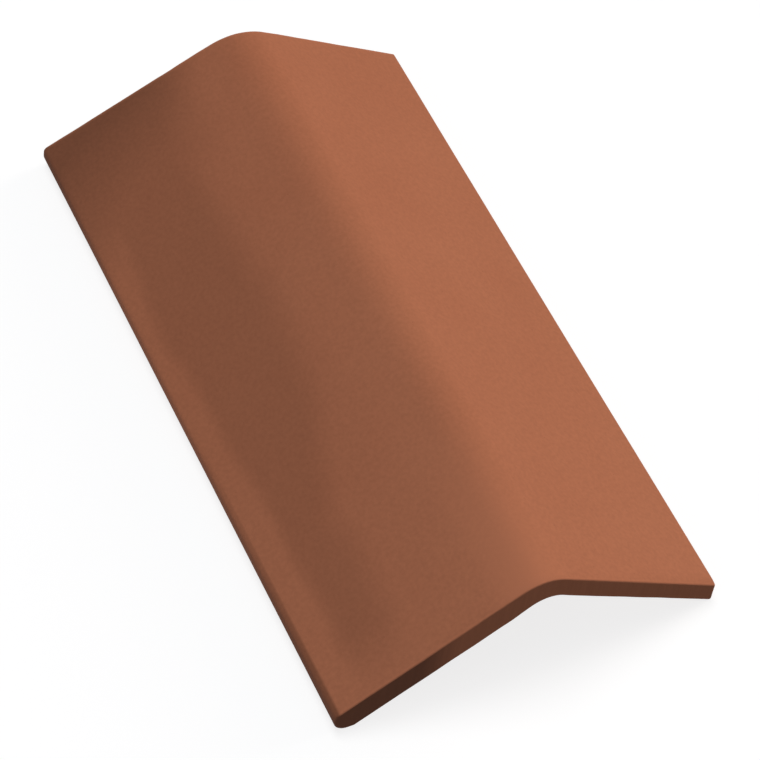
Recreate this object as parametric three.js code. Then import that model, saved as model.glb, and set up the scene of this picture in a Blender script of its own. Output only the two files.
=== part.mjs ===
// An angular clay ridge tile: two flat wings that fall away from a rounded apex, with plumb eaves
// and square-cut ends. It is one piece of fired clay, drawn through a die and cut to length.
// Millimetres. +Z is up, +Y runs along the ridge, and the origin is on the ground under the middle.

import * as THREE from 'three';

// Driving dimensions
const LENGTH = 450; // along the ridge
const SPAN = 250; // over the two eaves
const PITCH_DEGREES = 30; // fall of each wing, so the wings meet at 120 degrees
const LEFT_WALL = 20; // left wing, measured square to it; the right one comes to about 14
const APEX_RADIUS = 38; // outside of the rounded apex
const INNER_APEX_RADIUS = 23; // its underside
const LEFT_ARRIS_RADIUS = 3.5; // upper edge of the left eave
const LEFT_NOSE_RADIUS = 9.5; // lower edge of the left eave, which is rounded off
const LEFT_FOOT_WIDTH = 4; // flat that the left eave stands on
const LEFT_FOOT_RADIUS = 1.5; // inner edge of that flat
const RIGHT_ARRIS_RADIUS = 1.5; // upper edge of the right eave, which is crisper
const RIGHT_FOOT_RADIUS = 1.5; // lower edge of the right eave, on which it stands
const END_ARRIS_RADIUS = 1; // edge around each cut end

// Fineness of the rounded edges
const ARC_STEPS = 6;
const END_ARRIS_STEPS = 3;

// Fired clay
const CLAY_COLOUR = 0xa9694d;
const CLAY_ROUGHNESS = 0.85;

// Section through the tile, worked out from its plane faces
const pitch = THREE.MathUtils.degToRad(PITCH_DEGREES);
const halfSpan = SPAN / 2;
const wingDrop = halfSpan * Math.tan(pitch);

// The underside of each wing, carried on to the eave's plane, ends below the ground: on the left by
// its slope under the nose and the foot, and on the right by what the foot's rounding takes off
const leftFootSetback = LEFT_NOSE_RADIUS + LEFT_FOOT_WIDTH;
const leftUndersideHeight = -leftFootSetback * Math.tan(pitch);
const rightUndersideHeight = -RIGHT_FOOT_RADIUS * (Math.tan(pitch) + 1 / Math.cos(pitch) - 1);

// Both eaves end at one height, so the wing with the crisper foot has the thinner wall, and the apex
// of the underside lies towards it
const eaveHeight = leftUndersideHeight + LEFT_WALL / Math.cos(pitch);
const innerApexOffset = (rightUndersideHeight - leftUndersideHeight) / (2 * Math.tan(pitch));
const innerApexHeight = (leftUndersideHeight + rightUndersideHeight) / 2 + wingDrop;

// The section's sharp corners, anticlockwise from the right foot, each with its rounding
function sectionCorners() {
  return [
    { x: halfSpan, y: rightUndersideHeight, radius: RIGHT_FOOT_RADIUS },
    { x: halfSpan, y: eaveHeight, radius: RIGHT_ARRIS_RADIUS },
    { x: 0, y: eaveHeight + wingDrop, radius: APEX_RADIUS },
    { x: -halfSpan, y: eaveHeight, radius: LEFT_ARRIS_RADIUS },
    { x: -halfSpan, y: 0, radius: LEFT_NOSE_RADIUS },
    { x: -halfSpan + leftFootSetback, y: 0, radius: LEFT_FOOT_RADIUS },
    { x: innerApexOffset, y: innerApexHeight, radius: INNER_APEX_RADIUS },
  ];
}

// A closed outline through sharp corners, with an arc tangent to both sides at each of them
function roundedOutline(corners) {
  const outline = new THREE.Shape();
  corners.forEach((corner, index) => {
    const before = corners.at(index - 1);
    const after = corners[(index + 1) % corners.length];
    const point = new THREE.Vector2(corner.x, corner.y);
    const back = new THREE.Vector2(before.x, before.y).sub(point).normalize();
    const onward = new THREE.Vector2(after.x, after.y).sub(point).normalize();

    const halfAngle = Math.acos(back.dot(onward)) / 2;
    const tangentLength = corner.radius / Math.tan(halfAngle);
    const start = point.clone().addScaledVector(back, tangentLength);
    const end = point.clone().addScaledVector(onward, tangentLength);
    const bisector = back.clone().add(onward).normalize();
    const centre = point.clone().addScaledVector(bisector, corner.radius / Math.sin(halfAngle));

    const startAngle = Math.atan2(start.y - centre.y, start.x - centre.x);
    const endAngle = Math.atan2(end.y - centre.y, end.x - centre.x);
    const turnsInward = back.cross(onward) > 0;
    if (index === 0) {
      outline.moveTo(start.x, start.y);
    } else {
      outline.lineTo(start.x, start.y);
    }
    outline.absarc(centre.x, centre.y, corner.radius, startAngle, endAngle, turnsInward);
  });
  outline.closePath();
  return outline;
}

// The section drawn out along the ridge, with its edge softened at both cut ends
function tileGeometry() {
  return new THREE.ExtrudeGeometry(roundedOutline(sectionCorners()), {
    depth: LENGTH - 2 * END_ARRIS_RADIUS,
    curveSegments: ARC_STEPS,
    bevelThickness: END_ARRIS_RADIUS,
    bevelSize: END_ARRIS_RADIUS,
    bevelOffset: -END_ARRIS_RADIUS,
    bevelSegments: END_ARRIS_STEPS,
  });
}

const firedClay = new THREE.MeshStandardMaterial({
  color: CLAY_COLOUR,
  roughness: CLAY_ROUGHNESS,
  metalness: 0,
});

// The section is drawn upright, and its depth runs back along the ridge from the +Y end
const ridgeTile = new THREE.Mesh(tileGeometry(), firedClay);
ridgeTile.name = 'ridge_tile';
ridgeTile.rotation.x = Math.PI / 2;
ridgeTile.position.y = LENGTH / 2 - END_ARRIS_RADIUS;

const tile = new THREE.Group();
tile.add(ridgeTile);

export default tile;
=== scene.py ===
# An angular clay ridge tile on a pale studio floor: the fired piece with its softened arrises, the
# lie of a drawn and dried clay wall, the surfaces that the die, the cutting wire and the kiln left, and
# painted shade and highlights in its colour.
# Metres, in the imported model's frame: +X to the right-hand eave, +Y along the ridge, +Z up.

import math

import bmesh
import bpy
from mathutils import Matrix, Vector, noise


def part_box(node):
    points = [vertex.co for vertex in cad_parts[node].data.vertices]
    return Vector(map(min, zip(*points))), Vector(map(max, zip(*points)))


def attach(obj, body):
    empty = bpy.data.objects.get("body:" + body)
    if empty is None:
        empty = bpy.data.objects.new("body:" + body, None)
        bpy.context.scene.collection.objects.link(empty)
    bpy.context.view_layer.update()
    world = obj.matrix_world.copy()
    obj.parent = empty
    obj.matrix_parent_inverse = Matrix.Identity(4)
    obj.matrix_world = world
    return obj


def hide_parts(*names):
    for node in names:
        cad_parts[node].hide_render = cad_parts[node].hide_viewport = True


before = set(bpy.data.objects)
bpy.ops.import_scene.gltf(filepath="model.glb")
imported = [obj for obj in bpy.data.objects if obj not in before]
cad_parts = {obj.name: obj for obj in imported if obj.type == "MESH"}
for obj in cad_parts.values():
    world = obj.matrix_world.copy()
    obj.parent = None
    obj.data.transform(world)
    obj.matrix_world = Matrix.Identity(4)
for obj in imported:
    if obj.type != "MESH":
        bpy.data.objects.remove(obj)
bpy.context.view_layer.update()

MM = 0.001

# Sizes of the tile, which the frame's box completes
PITCH = math.radians(30)  # fall of each wing
APEX_RADIUS = 38 * MM
INNER_APEX_RADIUS = 23 * MM
LEFT_ARRIS_RADIUS = 3.5 * MM  # upper edge of the left eave
LEFT_NOSE_RADIUS = 9.5 * MM  # lower edge of the left eave
LEFT_FOOT_WIDTH = 4 * MM  # flat that the left eave stands on
LEFT_FOOT_RADIUS = 1.5 * MM  # inner edge of that flat
RIGHT_ARRIS_RADIUS = 1.5 * MM
RIGHT_FOOT_RADIUS = 1.5 * MM
END_ARRIS_RADIUS = 1 * MM

tile_low, tile_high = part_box("ridge_tile")
HALF_SPAN = tile_high.x
NEAR_END = tile_low.y
FAR_END = tile_high.y
LENGTH = FAR_END - NEAR_END
TOP = tile_high.z

# Heights of the section's sharp corners: the eaves' upper ones, and where each wing's underside, carried
# on to its eave, would end below the ground
WING_DROP = HALF_SPAN * math.tan(PITCH)
EAVE_HEIGHT = TOP + APEX_RADIUS * (1 / math.cos(PITCH) - 1) - WING_DROP
LEFT_FOOT_SETBACK = LEFT_NOSE_RADIUS + LEFT_FOOT_WIDTH
LEFT_UNDERSIDE = -LEFT_FOOT_SETBACK * math.tan(PITCH)
RIGHT_UNDERSIDE = -RIGHT_FOOT_RADIUS * (math.tan(PITCH) + 1 / math.cos(PITCH) - 1)

# Fineness of the mesh
APEX_STEPS = 24
ARRIS_STEP = 1.2 * MM
ARRIS_LEAST_STEPS = 3
EAVE_BLOCK = 24 * MM  # strip by each eave that takes in all of its roundings
END_RIM = 0.4 * MM  # flat rim inside the arris of each cut end
MESH_STEP = 2.5 * MM
SAME_PLACE = 0.01 * MM
SQUARE_ON = 0.99  # least share of an edge or a normal that runs along the ridge

# Lie of the clay: slow waves from drying, the faint lines that the die drew along the ridge, and small
# dips in the arrises around the cut ends
WAVE_HEIGHT = 0.25 * MM
WAVE_LENGTH = 90 * MM
DIE_LINE_HEIGHT = 0.04 * MM
DIE_LINE_WIDTH = 9 * MM
DIE_LINE_DRIFT = 260 * MM
DIP_DEPTH = 0.4 * MM
DIP_LENGTH = 22 * MM
DIP_REACH = 5 * MM

# The near end's upper arris, worn down towards the right eave
WORN_DEPTH = 1.2 * MM
WORN_REACH = 4 * MM
WORN_START = 30 * MM

# How the tile has settled in drying and firing: its ends lean in, its ridge lies a little to the right and
# drifts further that way towards the far end, and its apex is drawn tighter towards the near end
END_LEAN = math.radians(2.6)
RIDGE_OFFSET = 1.2 * MM
RIDGE_DRIFT = 2 * MM
APEX_TIGHTENING = 10 * MM

# Camera, at the photograph's viewing angle
VIEW_AZIMUTH = math.radians(-34.23)
VIEW_ELEVATION = math.radians(52.92)
VIEW_ROLL = math.radians(11.19)
VIEW_DISTANCE = 1.793
VIEW_AIM = Vector((-10.1 * MM, -33.4 * MM, 40 * MM))
VIEW_LENS = 140.8  # millimetres, as is the sensor's width
SENSOR_WIDTH = 36

# Studio light: a soft light overhead, a low and slightly warm one from the right, a weak one from the left,
# an even and slightly cool fill, and a backlit white floor
TOP_LIGHT_FROM = Vector((-0.08, 0.30, 0.93))
TOP_LIGHT_STRENGTH = 1.34
TOP_LIGHT_COLOUR = "#FFFFFF"
RIGHT_LIGHT_FROM = Vector((0.96, 0.12, 0.25))
RIGHT_LIGHT_STRENGTH = 2.1
RIGHT_LIGHT_COLOUR = "#FFF2E6"
LEFT_LIGHT_FROM = Vector((-0.94, -0.15, 0.30))
LEFT_LIGHT_STRENGTH = 0.45
LEFT_LIGHT_COLOUR = "#FFFFFF"
LIGHT_SPREAD = math.radians(30)
FILL_LEVEL = 0.225
FILL_COLOUR = "#EEF4FF"
FLOOR_SIZE = 40
FLOOR_COLOUR = "#8E8E8E"
FLOOR_GLOW = 0.8
FLOOR_GLOW_COLOUR = "#FFFFFF"

# Colours of the clay
CLAY = "#AE6E50"
DEEP_CLAY = "#A7674A"
# Paler clay for the ends' rubbed arrises with a painted highlight, and for a painted highlight on the apex
RUBBED_HIGHLIGHT_CLAY = "#BC7656"
# Clay darkened by painted shade on the left wing and its eave
PAINTED_SHADE_CLAY = "#7F4F39"
GRIT = "#7C4B38"
CUT_CLAY = "#AE6B4A"
# Cut clay darkened by painted shade towards the left eave
SHADED_CUT_CLAY = "#7D4C34"

# Sizes of the clay's patterns. Its real grain is under half a millimetre, which is too fine to show
# from here, so it is drawn about five times as coarse.
MOTTLE_SIZE = 60 * MM
GRAIN_SIZE = 2.4 * MM
GRAIN_HEIGHT = 0.05 * MM
GRIT_SPACING = 11 * MM
GRIT_SIZE = 0.9 * MM
DRAG_LINE_WIDTH = 2.5 * MM
DRAG_LINE_LENGTH = 240 * MM
DRAG_LINE_HEIGHT = 0.03 * MM
WIRE_LINE_WIDTH = 2.2 * MM
WIRE_LINE_LENGTH = 30 * MM
WIRE_LINE_HEIGHT = 0.08 * MM
CUT_GRAIN_HEIGHT = 0.1 * MM

# How many finer layers each pattern's noise has
MOTTLE_DETAIL = 4
GRAIN_DETAIL = 3
DRAG_LINE_DETAIL = 2
WIRE_LINE_DETAIL = 3
SHADE_WANDER_DETAIL = 2

# Strengths of the patterns, and the values between and about which most of a noise lies
NOISE_LOW = 0.3
NOISE_MIDDLE = 0.5
NOISE_HIGH = 0.7
BODY_DRIFT = 0.2
GRAIN_TONE = 0.06
WIRE_TONE = 0.04
GRIT_SHOWS = 0.3
GRIT_EDGE = 0.2  # softness of a grain's edge, as a share of its radius

# Matt gloss of unglazed clay, which the wire leaves a little rougher
CLAY_GLOSS = 0.08
SMOOTH_CLAY = 0.85
ROUGH_CLAY = 0.97

# Painted shade on the left wing: a darker band between two soft edges, which close in towards the near
# end, where the band fades
SHADE_WIDE_OUTER = -114 * MM
SHADE_WIDE_INNER = -52 * MM
SHADE_WIDE_FROM = -20 * MM
SHADE_NARROW_OUTER = -108 * MM
SHADE_NARROW_INNER = -74 * MM
SHADE_NARROW_FROM = -130 * MM
SHADE_OUTER_SOFTNESS = 8 * MM
SHADE_INNER_SOFTNESS = 17 * MM
SHADE_BAND_DEPTH = 0.47
SHADE_FADE_START = -180 * MM
SHADE_FADED = 0.3
SHADE_WANDER = 20 * MM
SHADE_WANDER_SIZE = 70 * MM

# Painted shade on the rest of that wing: darkest at its far corner, in a slanting fade, and palest by the
# near end
WING_START = -20 * MM
WING_FULL = -60 * MM
WING_DEPTH = 0.15
PALE_START = -40 * MM
PALE_DEPTH = 0.08
TOWARDS_CORNER = (-0.48, 1, 0)
CORNER_START = 144 * MM
CORNER_FULL = 262 * MM

# The left eave's face, and painted shade on it, which is darkest at the near end
EAVE_INNER = -121 * MM
EAVE_OUTER = -123.2 * MM
EAVE_SHADE_START = 30 * MM

# Clay painted paler: the ends' arrises, but for the left eave's, rubbed and with a painted highlight, and
# a painted highlight on the apex, on its left side and towards the near end
ARRIS_RUB_HIGHLIGHT_REACH = 2.5 * MM
ARRIS_RUB_HIGHLIGHT_SHOWS = 0.5
APEX_HIGHLIGHT_MIDDLE = -9 * MM
APEX_HIGHLIGHT_REACH = 28 * MM
APEX_HIGHLIGHT_START = -90 * MM

# Where painted shade turns the cut end darker, towards the left eave
DARK_CUT_START = -46 * MM
DARK_CUT_FULL = -76 * MM


def linear_colour(hex_colour):
    """An sRGB hex colour as linear red, green, blue and alpha, by the curve of the sRGB standard."""
    channels = [int(hex_colour[i:i + 2], 16) / 255 for i in (1, 3, 5)]
    linear = [c / 12.92 if c <= 0.04045 else ((c + 0.055) / 1.055) ** 2.4 for c in channels]
    return (*linear, 1.0)


def share_between(value, none_at, full_at):
    """How far a value has come from one place to another, from 0 to 1."""
    return max(0, min(1, (value - none_at) / (full_at - none_at)))


def add_node(tree, kind, settings=None, links=None):
    """A node with its settings, which are its own properties or its sockets' values, and its links."""
    node = tree.nodes.new(kind)
    for name, value in (settings or {}).items():
        if isinstance(name, str) and hasattr(node, name):
            setattr(node, name, value)
        else:
            node.inputs[name].default_value = value
    for socket, source in (links or {}).items():
        tree.links.new(source, node.inputs[socket])
    return node


def draw_skin(bm, centre, radius, left_reach):
    """One face of the section as a chain of edges: a wing, the arc of the apex and a wing."""
    left = bm.verts.new(centre + radius * Vector((-math.sin(PITCH), 0, math.cos(PITCH))))
    arc = bmesh.ops.spin(bm, geom=[left], cent=centre, axis=(0, 1, 0), angle=2 * PITCH, steps=APEX_STEPS)
    right = arc["geom_last"][0]
    for vert, side, full_reach in ((left, -1, left_reach), (right, 1, HALF_SPAN)):
        down_wing = Vector((side * math.cos(PITCH), 0, -math.sin(PITCH)))
        for reach in (HALF_SPAN - EAVE_BLOCK, full_reach):
            run = (reach - side * vert.co.x) / math.cos(PITCH)
            drawn = bmesh.ops.extrude_vert_indiv(bm, verts=[vert])["verts"]
            bmesh.ops.translate(bm, verts=drawn, vec=run * down_wing)
            vert = drawn[0]


def draw_section(bm):
    """The section at the near end, from upper face to underside, with plumb eaves and sharp corners."""
    inner_apex = (LEFT_UNDERSIDE + RIGHT_UNDERSIDE) / 2 + WING_DROP
    inner_offset = (RIGHT_UNDERSIDE - LEFT_UNDERSIDE) / (2 * math.tan(PITCH))
    inner_centre_height = inner_apex - INNER_APEX_RADIUS / math.cos(PITCH)
    outer_centre = Vector((0, NEAR_END, TOP - APEX_RADIUS))
    inner_centre = Vector((inner_offset, NEAR_END, inner_centre_height))
    draw_skin(bm, outer_centre, APEX_RADIUS, HALF_SPAN)
    draw_skin(bm, inner_centre, INNER_APEX_RADIUS, HALF_SPAN - LEFT_FOOT_SETBACK)
    bmesh.ops.bridge_loops(bm, edges=bm.edges[:])

    # The left eave's face goes straight down to the ground, and the foot's flat in from there
    block_cut = EAVE_BLOCK - HALF_SPAN
    left_end = next(e for e in bm.edges if all(v.co.x < block_cut - SAME_PLACE for v in e.verts))
    halfway = 0.5
    _, corner = bmesh.utils.edge_split(left_end, left_end.verts[0], halfway)
    corner.co = Vector((-HALF_SPAN, NEAR_END, 0))


def draw_along_ridge(bm):
    """The section drawn out along the ridge to a closed solid."""
    made = bmesh.ops.extrude_face_region(bm, geom=bm.faces[:])["geom"]
    new_verts = [item for item in made if isinstance(item, bmesh.types.BMVert)]
    bmesh.ops.translate(bm, verts=new_verts, vec=(0, LENGTH, 0))
    bmesh.ops.recalc_face_normals(bm, faces=bm.faces[:])


def runs_along_ridge(edge):
    """Whether an edge runs the tile's way."""
    span = edge.verts[1].co - edge.verts[0].co
    return abs(span.y) > SQUARE_ON * span.length


def is_end_face(face):
    """Whether a face is part of a cut end."""
    return abs(face.normal.y) > SQUARE_ON


def soften(bm, edges, radius):
    """The edges rounded to a radius, as far back as the turn between the faces beside them asks."""
    bm.normal_update()
    turn = edges[0].calc_face_angle()
    steps = max(ARRIS_LEAST_STEPS, round(radius * turn / ARRIS_STEP))
    bmesh.ops.bevel(bm, geom=edges, offset=radius * math.tan(turn / 2), offset_type="OFFSET",
                    segments=steps, profile=0.5, affect="EDGES", material=-1)


def soften_arrises(bm):
    """The long edges of both eaves, then the edges around both cut ends."""
    long_corners = (
        (-HALF_SPAN, EAVE_HEIGHT, LEFT_ARRIS_RADIUS),
        (-HALF_SPAN, 0, LEFT_NOSE_RADIUS),
        (-HALF_SPAN + LEFT_FOOT_SETBACK, 0, LEFT_FOOT_RADIUS),
        (HALF_SPAN, EAVE_HEIGHT, RIGHT_ARRIS_RADIUS),
        (HALF_SPAN, RIGHT_UNDERSIDE, RIGHT_FOOT_RADIUS),
    )
    for x, z, radius in long_corners:
        at_corner = [v for v in bm.verts if math.hypot(v.co.x - x, v.co.z - z) < SAME_PLACE]
        soften(bm, [e for e in bm.edges if all(v in at_corner for v in e.verts)], radius)
    end_edges = [e for e in bm.edges if sum(is_end_face(f) for f in e.link_faces) == 1]
    soften(bm, end_edges, END_ARRIS_RADIUS)
    end_faces = [f for f in bm.faces if is_end_face(f)]
    bmesh.ops.inset_region(bm, faces=end_faces, thickness=END_RIM, use_even_offset=True)


def divide(bm, edges):
    """The edges, and the faces between them, cut alike into steps of the mesh on the longest edge."""
    longest = max(e.calc_length() for e in edges)
    bmesh.ops.subdivide_edges(bm, edges=edges, cuts=round(longest / MESH_STEP) - 1, use_grid_fill=True)


def divide_for_relief(bm):
    """Even cells along the ridge, across the wings and across the eaves, to carry the lie of the clay."""
    divide(bm, [e for e in bm.edges if runs_along_ridge(e) and e.calc_length() > LENGTH / 2])
    divide(bm, [e for e in bm.edges if e.calc_length() > HALF_SPAN / 2])
    on_sides = [e for e in bm.edges if not all(is_end_face(f) for f in e.link_faces)]
    divide(bm, [e for e in on_sides if e.calc_length() > 2 * MESH_STEP])


def clay_lie(place):
    """How far the clay stands off its true surface at a place."""
    wave = noise.noise(place / WAVE_LENGTH)
    along_die = (place.x / DIE_LINE_WIDTH, place.y / DIE_LINE_DRIFT, place.z / DIE_LINE_WIDTH)
    die_line = noise.noise(Vector(along_die))
    to_end = min(place.y - NEAR_END, FAR_END - place.y)
    near_arris = max(0, 1 - to_end / DIP_REACH)
    dip = max(0, noise.noise(place / DIP_LENGTH)) * near_arris
    return WAVE_HEIGHT * wave + DIE_LINE_HEIGHT * die_line - DIP_DEPTH * dip


def lay_clay(bm):
    """The clay's lie, put into the mesh on all but the feet, which rest on the ground."""
    bm.normal_update()
    foot_height = 2 * LEFT_NOSE_RADIUS
    for vert in bm.verts:
        clear_of_ground = share_between(vert.co.z, 0, foot_height)
        vert.co += vert.normal * clay_lie(vert.co) * clear_of_ground
        vert.co.z = max(0, vert.co.z)


def wear_arris(bm):
    """The near end's upper arris worn down, more towards the right eave."""
    for vert in bm.verts:
        depth = EAVE_HEIGHT + WING_DROP - abs(vert.co.x) * math.tan(PITCH) - vert.co.z
        by_end = share_between(vert.co.y, NEAR_END + WORN_REACH, NEAR_END)
        by_face = share_between(depth, WORN_REACH, 0)
        to_eave = share_between(vert.co.x, WORN_START, HALF_SPAN)
        vert.co.z -= WORN_DEPTH * by_end * by_face * to_eave


def apex_drop(from_ridge, radius):
    """How far an apex of this radius lies below the sharp one, at a distance from the ridge."""
    if from_ridge > radius * math.sin(PITCH):
        return 0
    arc = radius / math.cos(PITCH) - math.sqrt(radius ** 2 - from_ridge ** 2)
    return arc - from_ridge * math.tan(PITCH)


def settle(bm):
    """The form as it has settled, most of all at its two ends."""
    for vert in bm.verts:
        along = vert.co.y / FAR_END
        from_ridge = abs(vert.co.x)
        radius = APEX_RADIUS + min(0, along) * APEX_TIGHTENING
        vert.co.z += apex_drop(from_ridge, APEX_RADIUS) - apex_drop(from_ridge, radius)
        vert.co.x += (RIDGE_OFFSET + along * RIDGE_DRIFT) * (1 - from_ridge / HALF_SPAN)
        vert.co.y -= along * math.tan(END_LEAN) * vert.co.z


def make_tile(drawn_material, cut_material):
    """The whole tile as one closed mesh, with one material on its drawn faces and one on its cut ends."""
    bm = bmesh.new()
    draw_section(bm)
    draw_along_ridge(bm)
    soften_arrises(bm)
    divide_for_relief(bm)
    bm.normal_update()
    for face in bm.faces:
        face.smooth = True
        face.material_index = 1 if is_end_face(face) else 0
    lay_clay(bm)
    wear_arris(bm)
    settle(bm)
    mesh = bpy.data.meshes.new("clay_ridge_tile")
    bm.to_mesh(mesh)
    bm.free()
    mesh.materials.append(drawn_material)
    mesh.materials.append(cut_material)
    tile = bpy.data.objects.new("clay_ridge_tile", mesh)
    bpy.context.scene.collection.objects.link(tile)
    return tile


def new_material(name):
    """A material with no nodes yet, and its node tree."""
    material = bpy.data.materials.new(name)
    material.use_nodes = True
    material.node_tree.nodes.clear()
    return material, material.node_tree


def clay_body(tree, place, along):
    """The clay's own colour, with slow mottling, a little deeper towards the far end."""
    mottle = add_node(tree, "ShaderNodeTexNoise", {"Scale": 1 / MOTTLE_SIZE, "Detail": MOTTLE_DETAIL},
                      {"Vector": place})
    drift = add_node(tree, "ShaderNodeMapRange",
                     {"From Min": NEAR_END, "From Max": FAR_END,
                      "To Min": -BODY_DRIFT, "To Max": BODY_DRIFT}, {"Value": along})
    deepness = add_node(tree, "ShaderNodeMath", {"operation": "ADD", "use_clamp": True},
                        {0: mottle.outputs["Fac"], 1: drift.outputs["Result"]})
    body = add_node(tree, "ShaderNodeMixRGB",
                    {"Color1": linear_colour(CLAY), "Color2": linear_colour(DEEP_CLAY)},
                    {"Fac": deepness.outputs["Value"]})
    return body.outputs["Color"]


def shade_band(tree, across, along):
    """How dark the band of painted shade is, as its place along the tile and both of its edges leave it."""
    band = add_node(tree, "ShaderNodeMapRange",
                    {"interpolation_type": "SMOOTHSTEP",
                     "From Min": NEAR_END, "From Max": SHADE_FADE_START,
                     "To Min": SHADE_FADED * SHADE_BAND_DEPTH, "To Max": SHADE_BAND_DEPTH},
                    {"Value": along}).outputs["Result"]
    band_edges = (
        (SHADE_NARROW_OUTER, SHADE_WIDE_OUTER, -SHADE_OUTER_SOFTNESS, SHADE_OUTER_SOFTNESS),
        (SHADE_NARROW_INNER, SHADE_WIDE_INNER, SHADE_INNER_SOFTNESS, -SHADE_INNER_SOFTNESS),
    )
    for narrow, wide, outside, inside in band_edges:
        edge = add_node(tree, "ShaderNodeMapRange",
                        {"interpolation_type": "SMOOTHSTEP", "From Min": SHADE_NARROW_FROM,
                         "From Max": SHADE_WIDE_FROM, "To Min": narrow, "To Max": wide}, {"Value": along})
        past_edge = add_node(tree, "ShaderNodeMath", {"operation": "SUBTRACT"},
                             {0: across, 1: edge.outputs["Result"]})
        within = add_node(tree, "ShaderNodeMapRange",
                          {"interpolation_type": "SMOOTHSTEP", "From Min": outside, "From Max": inside},
                          {"Value": past_edge.outputs["Value"]})
        band = add_node(tree, "ShaderNodeMath", {"operation": "MULTIPLY"},
                        {0: band, 1: within.outputs["Result"]}).outputs["Value"]
    return band


def shaded_wing(tree, place, across, along):
    """How dark painted shade makes the rest of the left wing: most at its far corner, and least by the near
    end.
    """
    on_wing = add_node(tree, "ShaderNodeMapRange",
                       {"interpolation_type": "SMOOTHSTEP", "From Min": WING_START, "From Max": WING_FULL},
                       {"Value": across})
    towards_corner = add_node(tree, "ShaderNodeVectorMath",
                              {"operation": "DOT_PRODUCT", 1: TOWARDS_CORNER}, {0: place})
    by_corner = add_node(tree, "ShaderNodeMapRange", {"From Min": CORNER_START, "From Max": CORNER_FULL},
                         {"Value": towards_corner.outputs["Value"]})
    past_pale = add_node(tree, "ShaderNodeMapRange",
                         {"interpolation_type": "SMOOTHSTEP", "From Min": NEAR_END, "From Max": PALE_START,
                          "To Min": PALE_DEPTH, "To Max": WING_DEPTH}, {"Value": along})
    depth = add_node(tree, "ShaderNodeMath", {"operation": "MAXIMUM"},
                     {0: by_corner.outputs["Result"], 1: past_pale.outputs["Result"]})
    wing = add_node(tree, "ShaderNodeMath", {"operation": "MULTIPLY"},
                    {0: depth.outputs["Value"], 1: on_wing.outputs["Result"]})
    return wing.outputs["Value"]


def painted_shade(tree, place, along, on_eave):
    """How far painted shade darkens the clay, from 0 to 1, with edges on the wing that wander a little."""
    wander = add_node(tree, "ShaderNodeTexNoise",
                      {"Scale": 1 / SHADE_WANDER_SIZE, "Detail": SHADE_WANDER_DETAIL}, {"Vector": place})
    stray = add_node(tree, "ShaderNodeVectorMath", {"operation": "SUBTRACT", 1: (NOISE_MIDDLE,) * 3},
                     {0: wander.outputs["Color"]})
    strayed = add_node(tree, "ShaderNodeVectorMath",
                       {"operation": "MULTIPLY_ADD", 1: (SHADE_WANDER, SHADE_WANDER, 0)},
                       {0: stray.outputs["Vector"], 2: place}).outputs["Vector"]
    axes = add_node(tree, "ShaderNodeSeparateXYZ", links={"Vector": strayed}).outputs
    band = shade_band(tree, axes["X"], axes["Y"])
    wing = shaded_wing(tree, strayed, axes["X"], axes["Y"])
    on_face = add_node(tree, "ShaderNodeMath", {"operation": "MAXIMUM"}, {0: band, 1: wing})

    eave_depth = add_node(tree, "ShaderNodeMapRange", {"From Min": EAVE_SHADE_START, "From Max": NEAR_END},
                          {"Value": along})
    eave = add_node(tree, "ShaderNodeMath", {"operation": "MULTIPLY"},
                    {0: on_eave, 1: eave_depth.outputs["Result"]})
    shade = add_node(tree, "ShaderNodeMath", {"operation": "MAXIMUM"},
                     {0: on_face.outputs["Value"], 1: eave.outputs["Value"]})
    return shade.outputs["Value"]


def rub_and_highlight(tree, axes, on_eave):
    """How far the clay is painted paler, from 0 to 1: along the ends' arrises, rubbed and with a painted
    highlight, and on the apex, a painted highlight.
    """
    from_middle = add_node(tree, "ShaderNodeMath", {"operation": "ABSOLUTE"}, {0: axes["Y"]})
    towards_end = add_node(tree, "ShaderNodeMath", {"operation": "MULTIPLY_ADD", 1: math.tan(END_LEAN)},
                           {0: axes["Z"], 2: from_middle.outputs["Value"]})
    off_eave = add_node(tree, "ShaderNodeMapRange", {"To Min": ARRIS_RUB_HIGHLIGHT_SHOWS, "To Max": 0},
                        {"Value": on_eave})
    # Rubbed arrises of the ends, with a painted highlight where they catch the light
    arris_rub_highlight = add_node(tree, "ShaderNodeMapRange",
                         {"interpolation_type": "SMOOTHSTEP", "From Min": FAR_END - ARRIS_RUB_HIGHLIGHT_REACH,
                          "From Max": FAR_END},
                         {"Value": towards_end.outputs["Value"], "To Max": off_eave.outputs["Result"]})

    off_apex = add_node(tree, "ShaderNodeMath", {"operation": "SUBTRACT", 1: APEX_HIGHLIGHT_MIDDLE},
                        {0: axes["X"]})
    from_apex = add_node(tree, "ShaderNodeMath", {"operation": "ABSOLUTE"}, {0: off_apex.outputs["Value"]})
    by_near_end = add_node(tree, "ShaderNodeMapRange", {"From Min": APEX_HIGHLIGHT_START, "From Max": NEAR_END},
                           {"Value": axes["Y"]})
    # A painted highlight on the apex, on its left side and towards the near end
    apex_highlight = add_node(tree, "ShaderNodeMapRange",
                        {"interpolation_type": "SMOOTHSTEP", "From Min": APEX_HIGHLIGHT_REACH, "From Max": 0},
                        {"Value": from_apex.outputs["Value"], "To Max": by_near_end.outputs["Result"]})
    rub_highlight = add_node(tree, "ShaderNodeMath", {"operation": "MAXIMUM"},
                   {0: apex_highlight.outputs["Result"], 1: arris_rub_highlight.outputs["Result"]})
    return rub_highlight.outputs["Value"]


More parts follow.
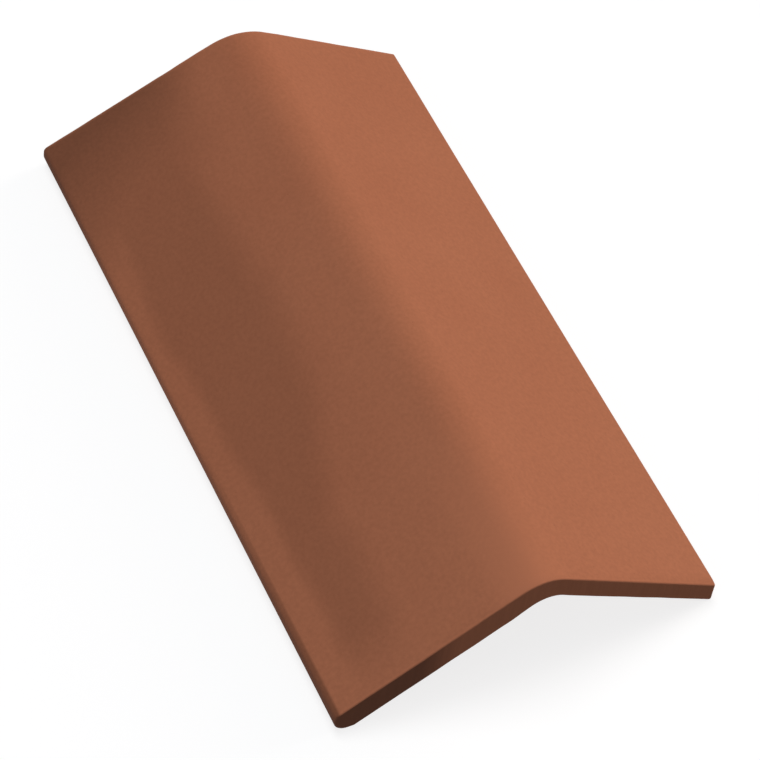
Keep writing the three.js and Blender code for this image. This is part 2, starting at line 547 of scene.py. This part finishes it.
def drawn_clay():
    # Fired clay as the die left it: an unglazed, matt and nearly even brick red, with slow mottling from
    # the clay body, which fired a little deeper towards the far end, a fine grain, a few darker grains of
    # grit and faint drag lines along the ridge. Painted shade darkens the left wing and its eave, the ends'
    # arrises are rubbed paler with a painted highlight, and the apex by the near end has a painted
    # highlight.
    material, tree = new_material("drawn_fired_clay")
    place = add_node(tree, "ShaderNodeTexCoord").outputs["Object"]
    axes = add_node(tree, "ShaderNodeSeparateXYZ", links={"Vector": place}).outputs
    on_eave = add_node(tree, "ShaderNodeMapRange",
                       {"interpolation_type": "SMOOTHSTEP",
                        "From Min": EAVE_INNER, "From Max": EAVE_OUTER},
                       {"Value": axes["X"]}).outputs["Result"]

    # The clay body darkened by painted shade on the left wing and its eave
    shaded = add_node(tree, "ShaderNodeMixRGB", {"Color2": linear_colour(PAINTED_SHADE_CLAY)},
                       {"Fac": painted_shade(tree, place, axes["Y"], on_eave),
                        "Color1": clay_body(tree, place, axes["Y"])})
    grain = add_node(tree, "ShaderNodeTexNoise", {"Scale": 1 / GRAIN_SIZE, "Detail": GRAIN_DETAIL},
                     {"Vector": place})
    grain_tone = add_node(tree, "ShaderNodeMapRange",
                          {"From Min": NOISE_LOW, "From Max": NOISE_HIGH,
                           "To Min": 1 - GRAIN_TONE, "To Max": 1 + GRAIN_TONE},
                          {"Value": grain.outputs["Fac"]})
    grained = add_node(tree, "ShaderNodeMixRGB", {"blend_type": "MULTIPLY", "Fac": 1},
                       {"Color1": shaded.outputs["Color"], "Color2": grain_tone.outputs["Result"]})

    grit = add_node(tree, "ShaderNodeTexVoronoi", {"Scale": 1 / GRIT_SPACING}, {"Vector": place})
    grit_radius = GRIT_SIZE / GRIT_SPACING / 2
    grit_shows = add_node(tree, "ShaderNodeMapRange",
                          {"From Min": (1 - GRIT_EDGE) * grit_radius,
                           "From Max": (1 + GRIT_EDGE) * grit_radius,
                           "To Min": GRIT_SHOWS, "To Max": 0}, {"Value": grit.outputs["Distance"]})
    gritty = add_node(tree, "ShaderNodeMixRGB", {"Color2": linear_colour(GRIT)},
                      {"Fac": grit_shows.outputs["Result"], "Color1": grained.outputs["Color"]})
    # Paler: the ends' rubbed arrises with a painted highlight, and a painted highlight on the apex
    rubbed_highlit = add_node(tree, "ShaderNodeMixRGB", {"Color2": linear_colour(RUBBED_HIGHLIGHT_CLAY)},
                      {"Fac": rub_and_highlight(tree, axes, on_eave), "Color1": gritty.outputs["Color"]})

    drag_scale = (1 / DRAG_LINE_WIDTH, 1 / DRAG_LINE_LENGTH, 1 / DRAG_LINE_WIDTH)
    dragged = add_node(tree, "ShaderNodeMapping", {"Scale": drag_scale}, {"Vector": place})
    drag = add_node(tree, "ShaderNodeTexNoise", {"Scale": 1, "Detail": DRAG_LINE_DETAIL},
                    {"Vector": dragged.outputs["Vector"]})
    drag_relief = add_node(tree, "ShaderNodeBump", {"Distance": DRAG_LINE_HEIGHT},
                           {"Height": drag.outputs["Fac"]})
    relief = add_node(tree, "ShaderNodeBump", {"Distance": GRAIN_HEIGHT},
                      {"Height": grain.outputs["Fac"], "Normal": drag_relief.outputs["Normal"]})
    roughness = add_node(tree, "ShaderNodeMapRange", {"To Min": SMOOTH_CLAY, "To Max": ROUGH_CLAY},
                         {"Value": grain.outputs["Fac"]})
    surface = add_node(tree, "ShaderNodeBsdfPrincipled", {"Specular IOR Level": CLAY_GLOSS},
                       {"Base Color": rubbed_highlit.outputs["Color"], "Roughness": roughness.outputs["Result"],
                        "Normal": relief.outputs["Normal"]})
    add_node(tree, "ShaderNodeOutputMaterial", links={"Surface": surface.outputs["BSDF"]})
    return material


def cut_clay():
    # Fired clay as the cutting wire left it: rougher than the drawn faces, with short drag lines down
    # through the wall, and darkened by painted shade towards the left eave.
    material, tree = new_material("wire_cut_fired_clay")
    place = add_node(tree, "ShaderNodeTexCoord").outputs["Object"]
    axes = add_node(tree, "ShaderNodeSeparateXYZ", links={"Vector": place}).outputs
    # Painted shade darkens the cut end towards the left eave
    towards_left = add_node(tree, "ShaderNodeMapRange",
                            {"interpolation_type": "SMOOTHSTEP", "From Min": DARK_CUT_START,
                             "From Max": DARK_CUT_FULL}, {"Value": axes["X"]})
    body = add_node(tree, "ShaderNodeMixRGB",
                    {"Color1": linear_colour(CUT_CLAY), "Color2": linear_colour(SHADED_CUT_CLAY)},
                    {"Fac": towards_left.outputs["Result"]})

    wire_scale = (1 / WIRE_LINE_WIDTH, 1 / WIRE_LINE_LENGTH, 1 / WIRE_LINE_LENGTH)
    wired = add_node(tree, "ShaderNodeMapping", {"Scale": wire_scale}, {"Vector": place})
    wire = add_node(tree, "ShaderNodeTexNoise", {"Scale": 1, "Detail": WIRE_LINE_DETAIL},
                    {"Vector": wired.outputs["Vector"]})
    wire_tone = add_node(tree, "ShaderNodeMapRange",
                         {"From Min": NOISE_LOW, "From Max": NOISE_HIGH,
                          "To Min": 1 - WIRE_TONE, "To Max": 1 + WIRE_TONE},
                         {"Value": wire.outputs["Fac"]})
    streaked = add_node(tree, "ShaderNodeMixRGB", {"blend_type": "MULTIPLY", "Fac": 1},
                        {"Color1": body.outputs["Color"], "Color2": wire_tone.outputs["Result"]})
    grain = add_node(tree, "ShaderNodeTexNoise", {"Scale": 1 / GRAIN_SIZE, "Detail": GRAIN_DETAIL},
                     {"Vector": place})
    wire_relief = add_node(tree, "ShaderNodeBump", {"Distance": WIRE_LINE_HEIGHT},
                           {"Height": wire.outputs["Fac"]})
    relief = add_node(tree, "ShaderNodeBump", {"Distance": CUT_GRAIN_HEIGHT},
                      {"Height": grain.outputs["Fac"], "Normal": wire_relief.outputs["Normal"]})
    surface = add_node(tree, "ShaderNodeBsdfPrincipled",
                       {"Roughness": ROUGH_CLAY, "Specular IOR Level": CLAY_GLOSS},
                       {"Base Color": streaked.outputs["Color"], "Normal": relief.outputs["Normal"]})
    add_node(tree, "ShaderNodeOutputMaterial", links={"Surface": surface.outputs["BSDF"]})
    return material


def backlit_acrylic():
    # Backlit white acrylic: matt, with a glow from below that keeps the shadows on it pale.
    material, tree = new_material("backlit_white_acrylic")
    surface = add_node(tree, "ShaderNodeBsdfPrincipled",
                       {"Base Color": linear_colour(FLOOR_COLOUR), "Roughness": 1, "Specular IOR Level": 0,
                        "Emission Color": linear_colour(FLOOR_GLOW_COLOUR),
                        "Emission Strength": FLOOR_GLOW})
    add_node(tree, "ShaderNodeOutputMaterial", links={"Surface": surface.outputs["BSDF"]})
    return material


def make_floor():
    """A wide white floor, whose glow doesn't reach the tile."""
    bm = bmesh.new()
    bmesh.ops.create_grid(bm, x_segments=1, y_segments=1, size=FLOOR_SIZE / 2)
    mesh = bpy.data.meshes.new("studio_floor")
    bm.to_mesh(mesh)
    bm.free()
    mesh.materials.append(backlit_acrylic())
    floor = bpy.data.objects.new("studio_floor", mesh)
    bpy.context.scene.collection.objects.link(floor)
    floor.visible_diffuse = False


def add_light(name, light_from, strength, colour):
    """A wide, far light that shines from a direction."""
    sun = bpy.data.lights.new(name, "SUN")
    sun.energy = strength
    sun.color = linear_colour(colour)[:3]
    sun.angle = LIGHT_SPREAD
    light = bpy.data.objects.new(name, sun)
    light.rotation_euler = light_from.to_track_quat("Z", "Y").to_euler()
    bpy.context.scene.collection.objects.link(light)


def make_light():
    """The three lights and the fill around them."""
    add_light("top_light", TOP_LIGHT_FROM, TOP_LIGHT_STRENGTH, TOP_LIGHT_COLOUR)
    add_light("right_light", RIGHT_LIGHT_FROM, RIGHT_LIGHT_STRENGTH, RIGHT_LIGHT_COLOUR)
    add_light("left_light", LEFT_LIGHT_FROM, LEFT_LIGHT_STRENGTH, LEFT_LIGHT_COLOUR)
    world = bpy.data.worlds.new("studio_fill")
    world.use_nodes = True
    background = world.node_tree.nodes["Background"]
    background.inputs["Color"].default_value = linear_colour(FILL_COLOUR)
    background.inputs["Strength"].default_value = FILL_LEVEL
    bpy.context.scene.world = world


def make_camera():
    """A camera that looks at the tile from the photograph's side, rolled as the photograph is."""
    level = math.cos(VIEW_ELEVATION)
    height = math.sin(VIEW_ELEVATION)
    away = Vector((level * math.sin(VIEW_AZIMUTH), -level * math.cos(VIEW_AZIMUTH), height))
    lens = bpy.data.cameras.new("photo_camera")
    lens.lens = VIEW_LENS
    lens.sensor_width = SENSOR_WIDTH
    camera = bpy.data.objects.new("photo_camera", lens)
    turn = away.to_track_quat("Z", "Y").to_matrix().to_4x4() @ Matrix.Rotation(VIEW_ROLL, 4, "Z")
    camera.matrix_world = Matrix.Translation(VIEW_AIM + away * VIEW_DISTANCE) @ turn
    bpy.context.scene.collection.objects.link(camera)
    bpy.context.scene.camera = camera


make_camera()
make_light()
make_floor()
bpy.context.scene.view_settings.view_transform = "Standard"

tile = make_tile(drawn_clay(), cut_clay())
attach(tile, "root")
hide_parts("ridge_tile")
